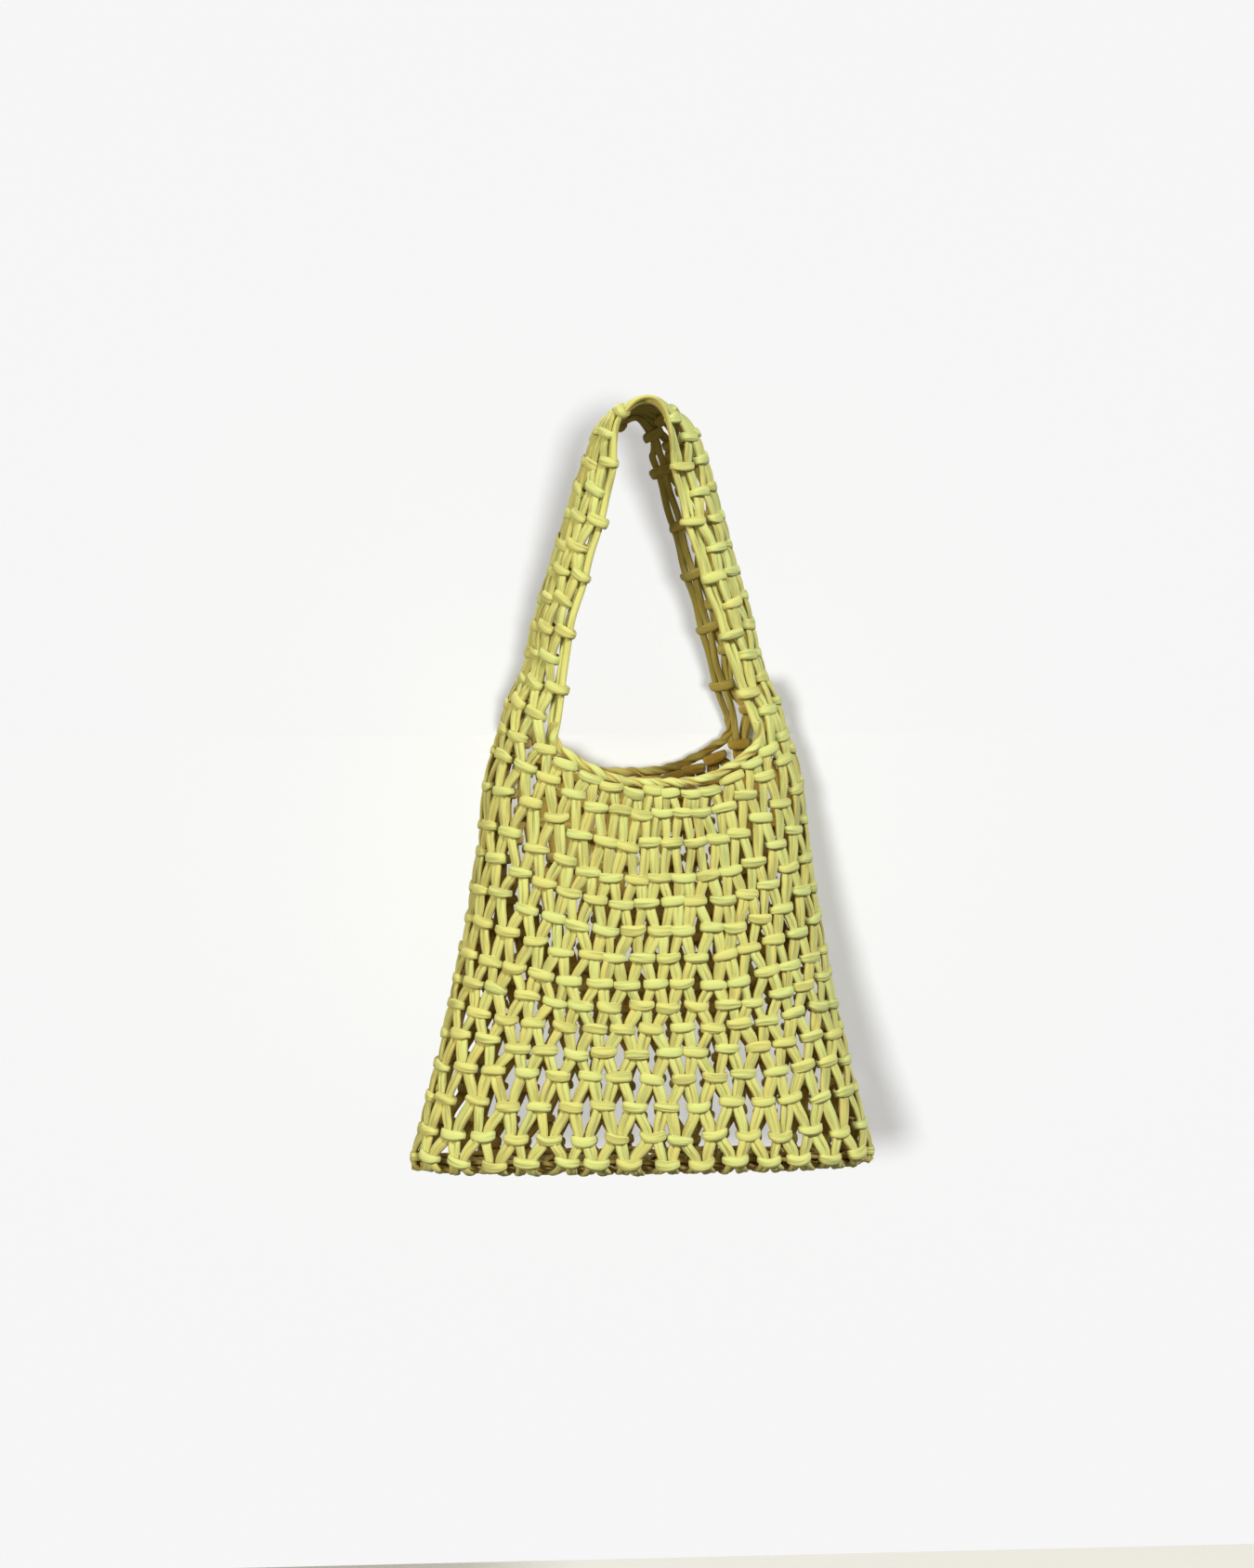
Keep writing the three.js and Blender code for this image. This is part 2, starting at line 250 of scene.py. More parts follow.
def base_point(column, share):
    """The net under the bag: share is 0 at the front wall and 1 at the back wall."""
    point = body_point(column, np.full_like(column, ROW_FALLS[-1]))
    point[:, 1] *= 1 - 2 * share
    point[:, 2] = BASE_LEVEL
    return point


def under_turn(column, t):
    """From a bottom knot of the front wall (t 0) round the lower edge to the first base row (t 1)."""
    start = body_point(column, np.full_like(column, ROW_FALLS[-1]))
    corner = start.copy()
    corner[:, 2] = BASE_LEVEL - 0.002
    end = base_point(column, np.full_like(column, 1 / (BACK_ROW - BOTTOM_ROW)))
    t = t[:, None]
    return start * (1 - t) ** 2 + corner * 2 * t * (1 - t) + end * t * t


def net_point(column, row):
    """A point of the net: rows below 0 are the handle, and rows past BOTTOM_ROW the base."""
    point = np.zeros((len(column), 3))
    body = (row >= 0) & (row <= BOTTOM_ROW)
    handle = row < 0
    base = row > BOTTOM_ROW
    if body.any():
        fall = np.interp(row[body], np.arange(BOTTOM_ROW + 1), ROW_FALLS)
        point[body] = body_point(column[body], fall)
    if handle.any():
        across = (np.abs(column[handle]) - FRONT_EDGE) / (2 * (SIDE_MIDDLE - FRONT_EDGE))
        at = ROW_ZERO_AT * (1 - row[handle] / CROWN_ROW)
        point[handle] = handle_point(across, np.where(column[handle] < 0, -at, at))
    if base.any():
        c = column[base]
        t = row[base] - BOTTOM_ROW
        rows = BACK_ROW - BOTTOM_ROW
        flat = base_point(c, np.clip(t, 1, rows - 1) / rows)
        near_side = under_turn(c, np.clip(t, 0, 1))
        far_side = under_turn(c, np.clip(rows - t, 0, 1)) * np.array([1.0, -1.0, 1.0])
        flat = np.where((t < 1)[:, None], near_side, flat)
        point[base] = np.where((t > rows - 1)[:, None], far_side, flat)
    return point


def net_frame(column, row):
    """Place on the net, with the unit directions along its rows, down it and out of the bag."""
    near = 4e-3
    column = column.ravel()
    row = row.ravel()
    place = net_point(column, row)
    along = net_point(column + near, row) - net_point(column - near, row)
    upper = np.maximum(row - near, CROWN_ROW)
    down = unit(net_point(column, row + near) - net_point(column, upper))
    normal = unit(np.cross(down, along))
    return place, unit(np.cross(normal, down)), down, normal


def pitch(column, row):
    """The distance from a knot to the next one in its row."""
    ahead = net_point(column + 0.5, row)
    behind = net_point(column - 0.5, row)
    return np.linalg.norm(ahead - behind, axis=1)


# Meshes: every strand is a flat section swept along a path, and a piece is one mesh of many strands

def flat_section(sides, power, dent):
    """A flat rounded section as (across, through) shares, with its seam and its dent facing out."""
    angle = -math.pi / 2 + 2 * math.pi * (np.arange(sides) + 0.5) / sides
    cos, sin = np.cos(angle), np.sin(angle)
    x = np.sign(cos) * np.abs(cos) ** (2 / power)
    y = np.sign(sin) * np.abs(sin) ** (2 / power)
    return x, y * np.where(y > 0, 1 - dent * (1 - np.abs(x)), 1.0)


class Piece:
    """Gathers swept strands and joins them into one mesh."""

    def __init__(self, painted_shade_scale=1.0):
        """The painted shade scale says how strongly the cord's painted shade, darker and browner, is laid
        on where it faces into the bag.
        """
        self.painted_shade_scale = painted_shade_scale
        self.points = []
        self.faces = []
        self.uvs = []
        self.tones = []
        self.painted_shade = []
        self.count = 0

    def sweep(
        self, path, across, through, half_width, half_depth, tone,
        sides=10, dent=0.1, closed=False, inward=0.0,
    ):
        """path, across and through are strands x stations x 3, the half sizes strands x stations.

        inward says how much painted shade, darker and browner, each station gets, mostly where it faces
        into the bag."""
        strands, stations, _ = path.shape
        sx, sy = flat_section(sides, 2.5, dent)
        wide = across[:, :, None, :] * (half_width[:, :, None] * sx)[..., None]
        deep = through[:, :, None, :] * (half_depth[:, :, None] * sy)[..., None]
        rings = path[:, :, None, :] + wide + deep
        steps = np.linalg.norm(np.roll(path, -1, axis=1) - path, axis=2)
        far = np.cumsum(steps, axis=1)
        start = far - steps
        index = self.count + np.arange(strands * stations * sides).reshape(strands, stations, sides)
        ahead = np.roll(index, -1, axis=1)
        around = np.roll(index, -1, axis=2)
        corner = np.roll(ahead, -1, axis=2)
        quads = np.stack([index, around, corner, ahead], axis=-1)
        v = np.broadcast_to(np.arange(sides) / sides, quads.shape[:3])
        u0 = np.broadcast_to(start[:, :, None], quads.shape[:3])
        u1 = np.broadcast_to(far[:, :, None], quads.shape[:3])
        w = v + 1 / sides
        uv = np.stack([u0, v, u0, w, u1, w, u1, v], axis=-1).reshape(strands, stations, sides, 4, 2)
        if not closed:
            quads = quads[:, :-1]
            uv = uv[:, :-1]
            self.cap(index[:, 0, ::-1])
            self.cap(index[:, -1])
        self.faces.append(quads.reshape(-1, 4))
        self.uvs.append(uv.reshape(-1, 4, 2))
        self.points.append(rings.reshape(-1, 3))
        self.tones.append(np.repeat(tone, stations * sides))
        inward = np.broadcast_to(inward, (strands, stations))[:, :, None]
        # Painted shade: darker and browner over the inner half of each tape, strongest on its inner face,
        # plus inward
        self.painted_shade.append(np.clip(inward + (0.5 - 0.5 * sy) ** EDGE_SHADE, 0, 1).ravel())
        self.count += strands * stations * sides

    def cap(self, ring):
        """Closes the end of each strand with a strip of quads. ring is strands x sides."""
        sides = ring.shape[1]
        for i in range(sides // 2 - 1):
            quad = [ring[:, i], ring[:, i + 1], ring[:, sides - 2 - i], ring[:, sides - 1 - i]]
            self.faces.append(np.stack(quad, axis=-1))
            self.uvs.append(np.zeros((len(ring), 4, 2)))

    def build(self, name):
        points = np.concatenate(self.points)
        faces = np.concatenate(self.faces)
        mesh = bpy.data.meshes.new(name)
        mesh.vertices.add(len(points))
        mesh.vertices.foreach_set("co", points.astype(np.float32).ravel())
        mesh.loops.add(faces.size)
        mesh.loops.foreach_set("vertex_index", faces.astype(np.int32).ravel())
        mesh.polygons.add(len(faces))
        mesh.polygons.foreach_set("loop_start", np.arange(0, faces.size, 4, dtype=np.int32))
        mesh.polygons.foreach_set("use_smooth", np.ones(len(faces), dtype=bool))
        layer = mesh.uv_layers.new(name="cord")
        layer.data.foreach_set("uv", np.concatenate(self.uvs).astype(np.float32).ravel())
        tone = mesh.attributes.new("tone", "FLOAT", "POINT")
        tone.data.foreach_set("value", np.concatenate(self.tones).astype(np.float32))
        painted_shade = mesh.attributes.new("painted_shade", "FLOAT", "POINT")
        painted_shade.data.foreach_set("value", self.painted_shade_scale * np.concatenate(self.painted_shade).astype(np.float32))
        mesh.update(calc_edges=True)
        piece = bpy.data.objects.new(name, mesh)
        bpy.context.scene.collection.objects.link(piece)
        return piece


def piece_at(column, row):
    """The piece that a knot or the middle of a leg belongs to."""
    reach = abs((column + HALF_ROUND) % COLUMNS - HALF_ROUND)
    if row < 0:
        name = "handle_right" if column > 0 and row > -2 else "handle_band"
    elif row > BOTTOM_ROW:
        name = "base_net"
    elif reach <= FRONT_EDGE:
        name = "front_net"
    elif reach >= HALF_ROUND - FRONT_EDGE:
        name = "back_net"
    else:
        name = "right_side_net" if (column + HALF_ROUND) % COLUMNS > HALF_ROUND else "left_side_net"
    return name


# Knots as (column, row). Rows shift by half a column in turn, so that the gaps are rhombuses.

def handle_columns(row):
    first = FRONT_EDGE + (0.5 if row % 2 == 0 else 1.0)
    return np.arange(first, 2 * SIDE_MIDDLE - FRONT_EDGE, 1.0)


def all_knots():
    knots = []
    for row in range(CROWN_ROW + 1, 0):
        knots += [(side * c, row) for side in (1, -1) for c in handle_columns(row)]
    for row in range(BOTTOM_ROW + 1):
        shift = 0.5 if row % 2 == 0 else 0.0
        knots += [(c + shift, row) for c in range(-HALF_ROUND, HALF_ROUND)]
    for row in range(BOTTOM_ROW + 1, BACK_ROW):
        reach = 6.0 if row % 2 else 6.5
        knots += [(c, row) for c in np.arange(-reach, reach + 0.1)]
    return knots


def wrapped(column):
    return (column + HALF_ROUND) % COLUMNS - HALF_ROUND


def all_legs(knots):
    """Pairs of knots, the upper one first, that a strand joins."""
    known = set(knots)
    legs = []
    for column, row in knots:
        for step in (-0.5, 0.5):
            below = (column + step, row + 1)
            if row < 0 and FRONT_EDGE < abs(below[0]) < HALF_ROUND - FRONT_EDGE:
                legs.append((column, row, *below))
            elif 0 <= row < BOTTOM_ROW or row == BACK_ROW - 1:
                legs.append((column, row, *below))
            elif row >= BOTTOM_ROW and below in known:
                legs.append((column, row, *below))
    middle = (BOTTOM_ROW + BACK_ROW) / 2
    for side in (-1, 1):
        tip = side * 6.5
        legs.append((tip, BOTTOM_ROW, tip, middle))
        legs.append((tip, middle, tip, BACK_ROW))
        legs.append((side * SIDE_MIDDLE, BOTTOM_ROW, tip, middle))
    return legs


knots = all_knots()
legs = all_legs(knots)

knot_shift = {knot: rng.uniform(-JITTER, JITTER, 2) for knot in knots}


def shifted(column, row):
    """A knot's place after its own small irregularity."""
    if row == BACK_ROW:
        shift = knot_shift[(wrapped(HALF_ROUND - column), BOTTOM_ROW)]
        return column - shift[0], row - shift[1]
    shift = knot_shift[(wrapped(column), row)]
    return column + shift[0], row + shift[1]


def leg_strands(piece, ends, ply):
    """Tapes between knots, two side by side in each leg. ply is -1 or 1 for the left or the right one.

    ends has the column and row of the upper knot and then of the lower one, for each leg."""
    count = len(ends)
    stations = 9
    first_column, first_row, last_column, last_row = ends.T
    side = np.sign(np.round(last_column - first_column, 1))
    first_pitch = pitch(first_column, first_row)
    last_pitch = pitch(last_column, last_row)
    mean_pitch = (first_pitch + last_pitch) / 2
    start = first_column + side * np.minimum(LEAVES_AT, 0.19 * first_pitch) / first_pitch
    end = last_column - side * np.minimum(ENTERS_AT, 0.21 * last_pitch) / last_pitch
    t = np.linspace(0.0, 1.0, stations)
    arch = np.sin(math.pi * t)
    column = lerp(start[:, None], end[:, None], smoothstep(t, 0.05, 0.95))
    row = lerp(first_row[:, None], last_row[:, None], lerp(-0.05, 1.05, t))
    row = np.maximum(row, CROWN_ROW)
    place, along, down, normal = (a.reshape(count, stations, 3) for a in net_frame(column, row))
    apart = np.clip(0.08 * mean_pitch, 0.0008, 0.0016)[:, None] * lerp(0.75 + 0.25 * arch, 0.45, t ** 3)
    bow = rng.uniform(-0.0008, 0.0008, count)[:, None] * arch
    in_front = np.where(rng.uniform(0, 1, count) < 0.5, -1, 1) * 0.0004
    rise = 0.0006 + 0.0011 * arch + in_front[:, None] + rng.uniform(-0.0003, 0.0003, count)[:, None]
    path = place + along * (bow + ply * apart)[..., None] + normal * rise[..., None]
    tangent = unit(np.gradient(path, axis=1))
    across = unit(np.cross(tangent, normal))
    through = unit(np.cross(across, tangent))
    twist = np.radians(rng.uniform(-LEG_TWIST, LEG_TWIST, count))[:, None] * np.ones(stations)
    change = np.radians(rng.uniform(-TWIST_CHANGE, TWIST_CHANGE, count))[:, None]
    twist = (twist + change * (2 * t - 1))[..., None]
    turned = across * np.cos(twist) + through * np.sin(twist)
    through = through * np.cos(twist) - across * np.sin(twist)
    width = np.clip(0.24 * mean_pitch + 0.0007, NARROWEST_TAPE, WIDEST_TAPE)
    width = np.where(first_row < -0.5, HANDLE_TAPE, width) * rng.uniform(0.9, 1.1, count)
    half_width = width[:, None] / 2 * (0.88 + 0.16 * arch)
    half_depth = TAPE_HALF_THICKNESS * np.ones((count, stations))
    tone = rng.uniform(0, 1, count)
    # Painted shade: the legs that run down to the left are darker and browner
    shaded = np.where(side < 0, 0.16, 0.0)[:, None]
    piece.sweep(path, turned, through, half_width, half_depth, tone, inward=shaded)


def bars(piece, places):
    """The flat loop round each knot, with its tape upright. places has each knot's column and row."""
    count = len(places)
    column, row = places.T
    handle = row < -0.5
    from_middle = np.where(handle, np.abs(column) - SIDE_MIDDLE, 0.0)
    at_edge = np.abs(from_middle) > 1.7
    column = column + np.where(at_edge, 0.1, 0.0) * np.sign(from_middle) * np.sign(column)
    place, along, down, normal = net_frame(column, row)
    wide = at_edge | (handle & (column < 0))
    widest = np.where(handle, HANDLE_BAR_HALF_WIDTH, BODY_BAR_HALF_WIDTH)
    widest = np.where(wide, WIDE_BAR_HALF_WIDTH, widest)
    half_width = np.minimum(widest, np.where(wide, 0.55, 0.47) * pitch(column, row))
    half_width = half_width * rng.uniform(0.94, 1.06, count)
    stations = BAR_STATIONS
    angle = 2 * math.pi * np.arange(stations) / stations - math.pi / 2
    cos, sin = np.cos(angle), np.sin(angle)
    x = np.sign(cos) * np.abs(cos) ** (2 / BAR_LOOP_POWER)
    y = np.sign(sin) * np.abs(sin) ** (2 / BAR_LOOP_POWER)
    lean = np.where(handle, np.where(column < 0, LEFT_HANDLE_LEAN, RIGHT_HANDLE_LEAN), 0.0)
    tilt = np.radians(lean + rng.uniform(-BAR_TILT, BAR_TILT, count))[:, None]
    turned = along * np.cos(tilt) + down * np.sin(tilt)
    upright = down * np.cos(tilt) - along * np.sin(tilt)
    smile = np.where(row > 12.5, 0.0015, 0.0003) + rng.uniform(-0.0005, 0.0005, count)
    end_side = np.where(rng.uniform(0, 1, count) < 0.5, -1.0, 1.0)
    slant = rng.uniform(-0.0014, 0.0014, count)
    front = (y > 0) * y
    drop = smile[:, None] * (1 - x * x) * front
    drop = drop + slant[:, None] * np.clip(end_side[:, None] * x, 0, 1) ** 3
    depth = BAR_LOOP_HALF_DEPTH + rng.uniform(-0.0002, 0.0003, count)[:, None]
    path = place[:, None] + turned[:, None] * (half_width[:, None] * x)[..., None]
    path = path + normal[:, None] * (depth * y)[..., None] + upright[:, None] * drop[..., None]
    tangent = unit(np.roll(path, -1, axis=1) - np.roll(path, 1, axis=1))
    across = np.broadcast_to(upright[:, None], path.shape)
    through = unit(np.cross(tangent, across))
    across = unit(np.cross(through, tangent))
    outward = np.einsum("nki,nki->nk", through, path - place[:, None])
    flip = np.sign(outward)[..., None]
    through = through * flip
    taper = 1 - 0.16 * np.abs(x) ** 4 - 0.2 * np.clip(end_side[:, None] * x, 0, 1) ** 2
    tape = BAR_HALF_HEIGHT * rng.uniform(0.88, 1.1, count)[:, None] * taper
    half_depth = BAR_HALF_THICKNESS * np.ones((count, stations))
    tone = rng.uniform(0, 1, count)
    # Painted shade: the back half of each loop is darker and browner
    behind = np.clip(-y, 0, 1)
    piece.sweep(
        path, across * flip, through, tape, half_depth, tone, sides=8, dent=0.0, closed=True, inward=behind,
    )


def resampled(points, count):
    """The same path in equal steps."""
    far = np.concatenate([[0], np.cumsum(np.linalg.norm(np.diff(points, axis=0), axis=1))])
    want = np.linspace(0, far[-1], count)
    return np.stack([np.interp(want, far, points[:, i]) for i in range(3)], axis=-1)


def smoothed(points, rounds):
    for _ in range(rounds):
        points[1:-1] = (points[:-2] + 2 * points[1:-1] + points[2:]) / 4
    return points


def single_strand(piece, path, normal, width, depth, sides=10, inward=0.0):
    """One strand along a path, with its flat side facing the given normals."""
    tangent = unit(np.gradient(path, axis=0))
    across = unit(np.cross(tangent, normal))
    through = unit(np.cross(across, tangent))
    size = np.ones((1, len(path)))
    piece.sweep(
        path[None], across[None], through[None], width / 2 * size, depth / 2 * size,
        rng.uniform(0, 1, 1), sides, inward=inward,
    )


def over_crown(piece, column, from_row, depth, width, thickness, overhang=0.0):
    """A long strand up one side of the handle, over its crown and down the other side.

    overhang says how many columns it hangs past the front edge just right of the crown."""
    stations = int(8 * (from_row - CROWN_ROW)) + 2
    rise = np.linspace(from_row, CROWN_ROW, stations)
    rows = np.concatenate([rise, rise[-2::-1]])
    sway = 0.03 * np.sin(np.arange(len(rows)) * 0.35 + rng.uniform(0, 6))
    columns = np.concatenate([np.full(stations, column), np.full(stations - 1, -column)]) + sway
    past_crown = np.arange(len(rows)) < stations
    columns = columns - past_crown * overhang * np.exp(-((rows - CROWN_ROW - 1.0) / 0.8) ** 2)
    place, along, down, normal = net_frame(columns, rows)
    ripple = 0.0003 * np.sin(np.arange(len(rows)) * 0.27 + rng.uniform(0, 6))
    single_strand(piece, place + normal * (depth + ripple)[:, None], normal, width, thickness)


def handle_strands(piece):
    """The two strands along each edge of the handle, and those that cross its crown between them."""
    for edge, inward in ((FRONT_EDGE, 1), (2 * SIDE_MIDDLE - FRONT_EDGE, -1)):
        overhang = 0.55 if inward > 0 else 0.0
        for columns_in, height, width, thickness in EDGE_STRANDS:
            over_crown(piece, edge + columns_in * inward, -0.1, height, width, thickness, overhang)
    top = CROWN_ROW + 1.1
    for column in handle_columns(0):
        for step in (-0.24, 0.24):
            over_crown(piece, column + step, top, 0.0006 + rng.uniform(0, 0.0008), *CROWN_TAPE)


def base_runs(piece):
    """Flat tapes from end to end of the base, above and below its knots."""
    for k, row in enumerate(np.linspace(BOTTOM_ROW + 0.8, BACK_ROW - 0.8, 6)):
        columns = np.linspace(-6.9, 6.9, 90)
        weave = 0.04 * np.sin(2 * math.pi * columns + k * math.pi)
        place, along, down, normal = net_frame(columns, row + weave)
        lift = 0.0012 * np.sin(2 * math.pi * columns + k * math.pi)
        # Painted shade: the base's long tapes are darker and browner all along
        single_strand(piece, place + normal * lift[:, None], normal, *BASE_TAPE, sides=8, inward=0.3)


def rim_cord(piece, middle):
    """Two plies laid round each other along one side of the mouth, from one handle edge to the other."""
    turn = 1 if middle == 0 else -1
    reach = np.linspace(4.85, -4.85, 98)
    columns = middle + turn * reach
    place, along, down, normal = net_frame(columns, np.zeros(len(columns)))
    wave = 0.0004 * np.cos(2 * math.pi * (columns - 0.5))
    line = body_point(columns, np.zeros(len(columns))) - down * (0.0028 + wave)[:, None]
    ends = []
    for side in (1, -1):
        edge_column = side * (FRONT_EDGE + 0.2 if middle == 0 else 2 * SIDE_MIDDLE - FRONT_EDGE - 0.2)
        rows = np.linspace(-1.1, -0.55, 7)
        ends.append(net_point(np.full(7, edge_column), rows))
    path = np.concatenate([ends[0], line, ends[1][::-1]])
    path = smoothed(resampled(path, 200), 6)
    tangent = unit(np.gradient(path, axis=0))
    out = np.zeros_like(path)
    out[:, 1] = -turn
    out = unit(out - tangent * np.sum(out * tangent, axis=1, keepdims=True))
    up = np.cross(tangent, out)
    length = path_length(path)
    angle = np.linspace(0, 2 * math.pi * (length / RIM_TURN), len(path))
    angle = angle + 0.35 * np.sin(angle * 0.37 + middle)
    for ply in (0, math.pi):
        swing = (angle + ply)[:, None]
        side = out * np.cos(swing) + up * np.sin(swing)
        # Painted shade: the back rim's cord is darker and browner than the front rim's
        single_strand(piece, path + side * 0.0010, side, *RIM_TAPE, inward=0.0 if middle == 0 else 0.6)


NODES = (
    "front_net", "back_net", "right_side_net", "left_side_net",
    "base_net", "handle_band", "front_rim_cord", "back_rim_cord",
)
# Each piece and the node that it replaces. The lowest part of the handle's right side is a piece
# of its own, so that it can shade the wall.
node_of = {name: name for name in NODES}
node_of["handle_right"] = "handle_band"
pieces = {name: Piece(HANDLE_PAINTED_SHADE if node == "handle_band" else 1.0) for name, node in node_of.items()}
knots_of = {name: [] for name in node_of}
legs_of = {name: [] for name in node_of}
for column, row in knots:
    knots_of[piece_at(column, row)].append(shifted(column, row))
for first_column, first_row, last_column, last_row in legs:
    name = piece_at((first_column + last_column) / 2, (first_row + last_row) / 2)
    ends = (*shifted(first_column, first_row), *shifted(last_column, last_row))
    legs_of[name].append(ends)

for name in (*NODES[:6], "handle_right"):
    ends = np.array(legs_of[name], float)
    leg_strands(pieces[name], ends, -1)
    leg_strands(pieces[name], ends, 1)
    bars(pieces[name], np.array(knots_of[name], float))
handle_strands(pieces["handle_band"])
base_runs(pieces["base_net"])
rim_cord(pieces["front_rim_cord"], 0)
rim_cord(pieces["back_rim_cord"], HALF_ROUND)


# Materials

def jersey(name, lime, olive, inside):
    """Matte knitted jersey tape: soft lengthwise creases with painted shade in them, a fine rib, a tone of
    its own per strand, and painted shade where it faces into the bag.
    """
    material = bpy.data.materials.new(name)
    material.use_nodes = True
    nodes = material.node_tree.nodes
    links = material.node_tree.links
    shader = nodes["Principled BSDF"]
    shader.inputs["Roughness"].default_value = 0.82
    shader.inputs["Sheen Weight"].default_value = 0.28
    shader.inputs["Sheen Roughness"].default_value = 0.6
    shader.inputs["Specular IOR Level"].default_value = 0.25
    tone = nodes.new("ShaderNodeAttribute")
    tone.attribute_name = "tone"
    cord = nodes.new("ShaderNodeUVMap")
    cord.uv_map = "cord"

    def stretched(along, around):
        scale = nodes.new("ShaderNodeVectorMath")
        scale.operation = "MULTIPLY"
        scale.inputs[1].default_value = (along, around, 1.0)
        links.new(cord.outputs["UV"], scale.inputs[0])
        return scale.outputs[0]

    shift = nodes.new("ShaderNodeMath")
    shift.operation = "MULTIPLY"
    shift.inputs[1].default_value = 37.0
    links.new(tone.outputs["Fac"], shift.inputs[0])

    def noise(vector, detail):
        node = nodes.new("ShaderNodeTexNoise")
        node.noise_dimensions = "4D"
        node.inputs["Scale"].default_value = 1.0
        node.inputs["Detail"].default_value = detail
        links.new(vector, node.inputs["Vector"])
        links.new(shift.outputs[0], node.inputs["W"])
        return node.outputs["Fac"]

    crease = noise(stretched(40.0, 6.0), 1.5)
    rib = noise(stretched(500.0, 70.0), 1.0)

    ridge = nodes.new("ShaderNodeMapRange")
    ridge.inputs["From Min"].default_value = 0.36
    ridge.inputs["From Max"].default_value = 0.52
    links.new(crease, ridge.inputs["Value"])

    mix = nodes.new("ShaderNodeMix")
    mix.data_type = "RGBA"
    mix.inputs["A"].default_value = (*lime, 1.0)
    mix.inputs["B"].default_value = (*olive, 1.0)
    links.new(tone.outputs["Fac"], mix.inputs["Factor"])
    # Painted shade in the creases: the colour is darker where the crease noise is low
    painted_crease_shade = nodes.new("ShaderNodeMix")
    painted_crease_shade.data_type = "RGBA"
    painted_crease_shade.blend_type = "MULTIPLY"
    painted_crease_shade.inputs["Factor"].default_value = 1.0
    shade = nodes.new("ShaderNodeMapRange")
    shade.inputs["To Min"].default_value = 0.76
    shade.inputs["To Max"].default_value = 1.0
    links.new(ridge.outputs["Result"], shade.inputs["Value"])
    links.new(mix.outputs["Result"], painted_crease_shade.inputs["A"])
    links.new(shade.outputs["Result"], painted_crease_shade.inputs["B"])
    # Painted shade: the colour is multiplied by the brown shade tint by the painted shade attribute
    painted_shade = nodes.new("ShaderNodeAttribute")
    painted_shade.attribute_name = "painted_shade"
    deep = nodes.new("ShaderNodeMix")
    deep.data_type = "RGBA"
    deep.blend_type = "MULTIPLY"
    deep.inputs["B"].default_value = (*inside, 1.0)
    links.new(painted_shade.outputs["Fac"], deep.inputs["Factor"])
    links.new(painted_crease_shade.outputs["Result"], deep.inputs["A"])
    links.new(deep.outputs["Result"], shader.inputs["Base Color"])

    height = nodes.new("ShaderNodeMath")
    height.operation = "MULTIPLY_ADD"
    height.inputs[1].default_value = 0.12
    links.new(rib, height.inputs[0])
    links.new(ridge.outputs["Result"], height.inputs[2])
    bump = nodes.new("ShaderNodeBump")
    bump.inputs["Strength"].default_value = 0.85
    bump.inputs["Distance"].default_value = 0.0005
    links.new(height.outputs[0], bump.inputs["Height"])
    links.new(bump.outputs["Normal"], shader.inputs["Normal"])
    return material


LIME = (0.69, 0.79, 0.28)
OLIVE = (0.72, 0.73, 0.23)
PAINTED_SHADE_TINT = (0.66, 0.42, 0.18)  # painted shade: what the cord's colour is multiplied by where it faces into the bag
net_cord = jersey("net_cord_jersey", LIME, OLIVE, PAINTED_SHADE_TINT)
strands = {}
for name, node in node_of.items():
    piece = pieces[name].build(name + "_strands")
    piece.data.materials.append(net_cord)
    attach(piece, "root")
    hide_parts(node)
    strands[name] = piece


# Stage: a pale floor, and a pale wall behind the bag that catches its soft shadows

def stage_plane(name, corners, color):
    mesh = bpy.data.meshes.new(name)
    mesh.from_pydata(corners, [], [(0, 1, 2, 3)])
    plane = bpy.data.objects.new(name, mesh)
    bpy.context.scene.collection.objects.link(plane)
    material = bpy.data.materials.new(name + "_paint")
    material.use_nodes = True
    nodes = material.node_tree.nodes
    links = material.node_tree.links
    nodes.remove(nodes["Principled BSDF"])
    paint = nodes.new("ShaderNodeBsdfDiffuse")
    paint.inputs["Color"].default_value = (*color, 1.0)
    clear = nodes.new("ShaderNodeBsdfTransparent")
    geometry = nodes.new("ShaderNodeNewGeometry")
    mix = nodes.new("ShaderNodeMixShader")
    links.new(geometry.outputs["Backfacing"], mix.inputs["Fac"])
    links.new(paint.outputs[0], mix.inputs[1])
    links.new(clear.outputs[0], mix.inputs[2])
    links.new(mix.outputs[0], nodes["Material Output"].inputs["Surface"])
    mesh.materials.append(material)
    plane.visible_shadow = False
    plane.visible_diffuse = False
    return plane


# The wall is nearest the bag at the mouth, and leans back above and below it, so that shadows widen there.
# Suns on the wall: (name, azimuth, elevation, energy)
WALL_SUNS = (("wall_from_right", 1, 2, 1.42), ("wall_from_left", -16, 6, 1.42))
WALL_COLOR = (0.985, 0.985, 1.0)
WALL_WHITE = 0.925
WORLD_COLOR = (1.0, 0.84, 0.62)
WORLD_STRENGTH = 0.10
FLOOR = -0.78
FOLD = (0.045, -0.19)
UPPER_LEAN = 0.68
LOWER_LEAN = 0.45
TOP = 1.4


def towards_sun(azimuth, elevation):
    """Azimuth 0 is straight in front of the bag, and 90 on its right."""
    a, e = math.radians(azimuth), math.radians(elevation)
    return Vector((math.sin(a) * math.cos(e), -math.cos(a) * math.cos(e), math.sin(e)))


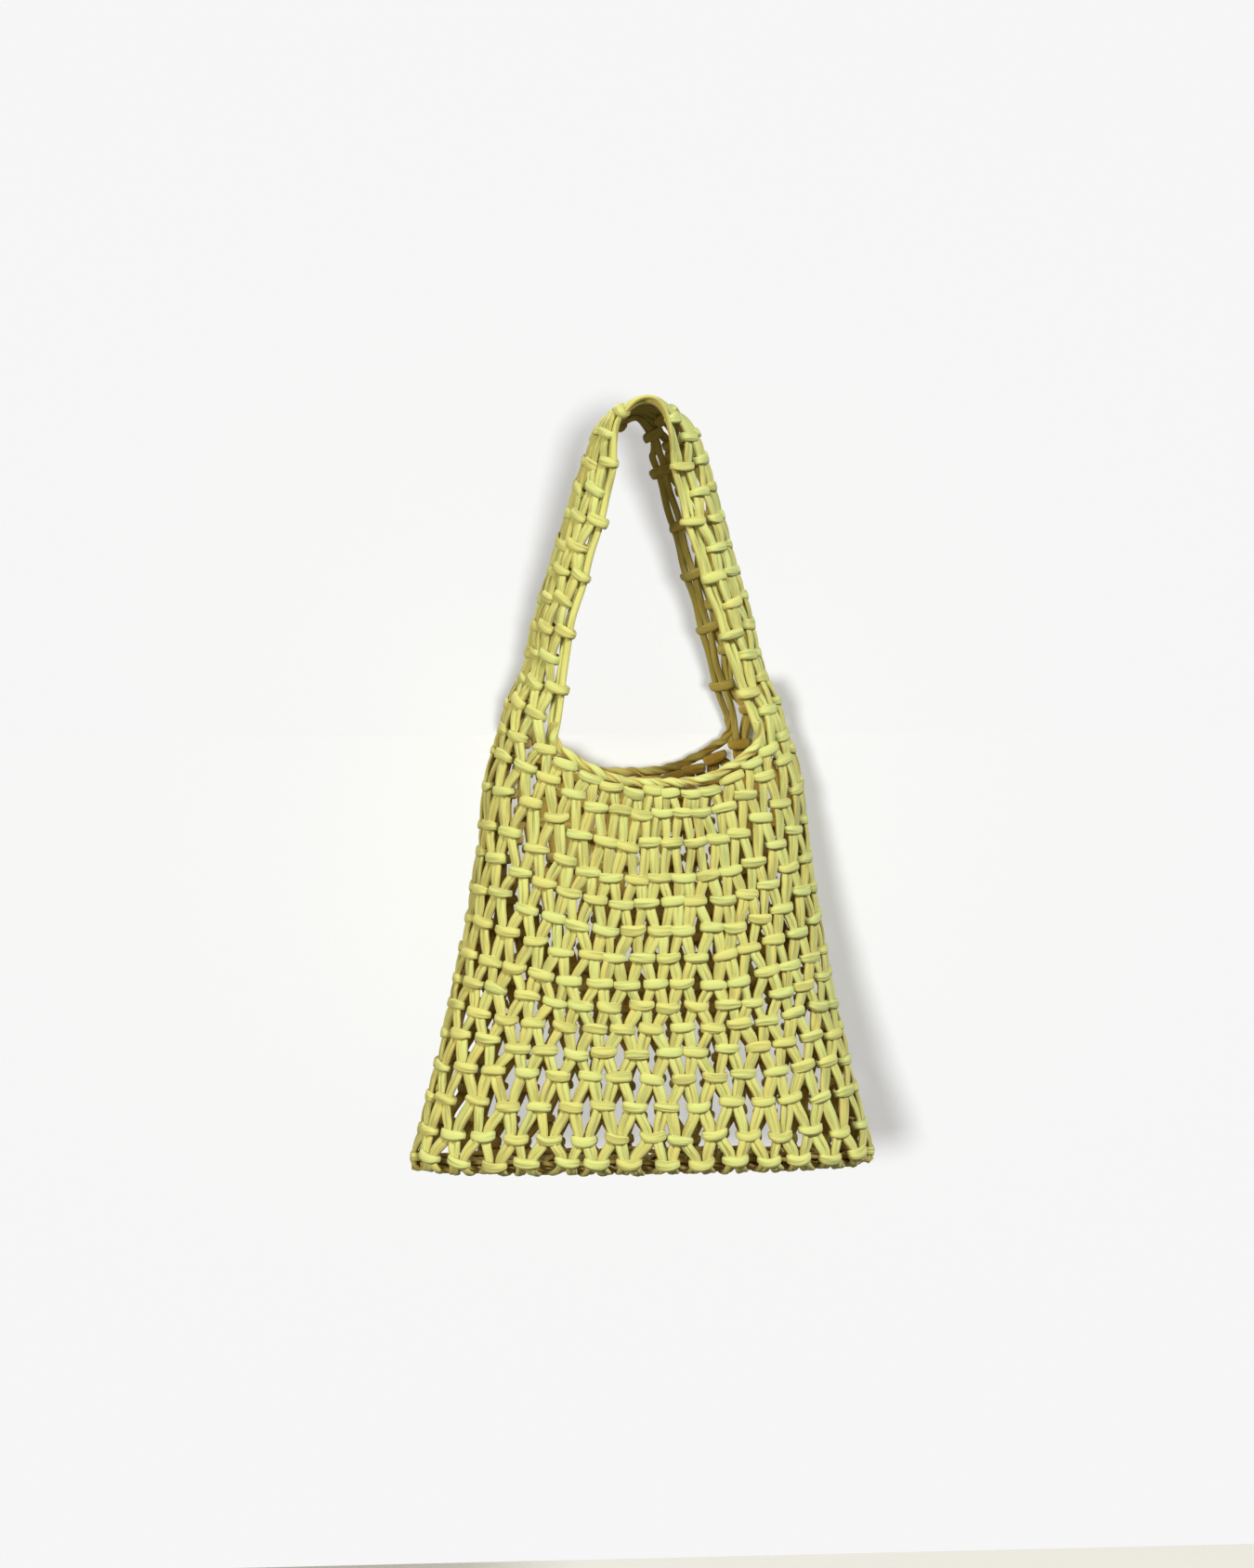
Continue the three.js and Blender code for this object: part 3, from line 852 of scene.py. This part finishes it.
def wall(name, end_z, lean):
    """A wall plane from the fold to a height, painted so that it looks as bright as the other."""
    y, z = FOLD
    end_y = y + abs(end_z - z) * lean
    corners = [(-4, y, z), (4, y, z), (4, end_y, end_z), (-4, end_y, end_z)]
    if end_z < z:
        corners = corners[::-1]
    normal = Vector((0.0, -1.0, math.copysign(lean, end_z - z))).normalized()
    light = sum(energy * normal.dot(towards_sun(a, e)) for _, a, e, energy in WALL_SUNS) / math.pi
    color = [
        WALL_WHITE / (light * sun_color + WORLD_STRENGTH * world_color)
        for sun_color, world_color in zip(WALL_COLOR, WORLD_COLOR)
    ]
    return stage_plane(name, corners, color)


backdrop = [wall("backdrop_upper", TOP, UPPER_LEAN), wall("backdrop_lower", FLOOR, LOWER_LEAN)]
floor_corners = [(-4, -4, FLOOR), (4, -4, FLOOR), (4, 4, FLOOR), (-4, 4, FLOOR)]
floor = stage_plane("floor", floor_corners, (0.8, 0.8, 0.8))


def group(name, members):
    collection = bpy.data.collections.new(name)
    for member in members:
        collection.objects.link(member)
    return collection


def sun(name, azimuth, elevation, energy, color, softness, lit, blockers=None):
    """A soft distant light"""
    light = bpy.data.lights.new(name, "SUN")
    light.energy = energy
    light.color = color
    light.angle = math.radians(softness)
    lamp = bpy.data.objects.new(name, light)
    lamp.rotation_euler = towards_sun(azimuth, elevation).to_track_quat("Z", "Y").to_euler()
    bpy.context.scene.collection.objects.link(lamp)
    lamp.light_linking.receiver_collection = lit
    lamp.light_linking.blocker_collection = blockers


handle_names = ("handle_band", "handle_right", "front_rim_cord", "back_rim_cord")
handle_parts = [strands[name] for name in handle_names]
body_parts = [strands["handle_right"]]
body_parts += [piece for piece in strands.values() if piece not in handle_parts]
bag_and_floor = group("bag_and_floor", [*strands.values(), floor])
wall_only = group("wall_only", backdrop)
sun("key", 32, 42, 2.75, (0.98, 1.0, 0.96), 10, bag_and_floor)
sun("fill", -54, 18, 2.0, (1.0, 0.90, 0.68), 25, bag_and_floor)
sun("front", 5, 0, 0.35, (1.0, 0.86, 0.66), 90, bag_and_floor)
sun("rear", 195, 35, 0.9, (1.0, 1.0, 0.97), 25, bag_and_floor)
shadow_casters = (group("handle_shadow", handle_parts), group("body_shadow", body_parts))
for (name, azimuth, elevation, energy), blockers in zip(WALL_SUNS, shadow_casters):
    sun(name, azimuth, elevation, energy, WALL_COLOR, 8, wall_only, blockers)
world = bpy.data.worlds.new("studio")
bpy.context.scene.world = world
world.use_nodes = True
world.node_tree.nodes["Background"].inputs["Color"].default_value = (*WORLD_COLOR, 1.0)
world.node_tree.nodes["Background"].inputs["Strength"].default_value = WORLD_STRENGTH
bpy.context.scene.view_settings.view_transform = "Standard"


# Camera: the photograph's angle and scale

AZIMUTH = math.radians(-5)
ELEVATION = math.radians(5)
DISTANCE = 2.5
METRES_PER_PIXEL = 0.00056
forward = Vector((
    -math.sin(AZIMUTH) * math.cos(ELEVATION),
    math.cos(AZIMUTH) * math.cos(ELEVATION),
    -math.sin(ELEVATION),
))
right = Vector((math.cos(AZIMUTH), math.sin(AZIMUTH), 0.0))
aim = right * -0.0098 + Vector((0.0, 0.0, -0.2167))
lens = bpy.data.cameras.new("view")
lens.sensor_width = 36.0
lens.lens = 36.0 * DISTANCE / (1688 * METRES_PER_PIXEL)
lens.clip_end = 20.0
camera = bpy.data.objects.new("view", lens)
camera.location = aim - forward * DISTANCE
camera.rotation_euler = forward.to_track_quat("-Z", "Y").to_euler()
bpy.context.scene.collection.objects.link(camera)
bpy.context.scene.camera = camera
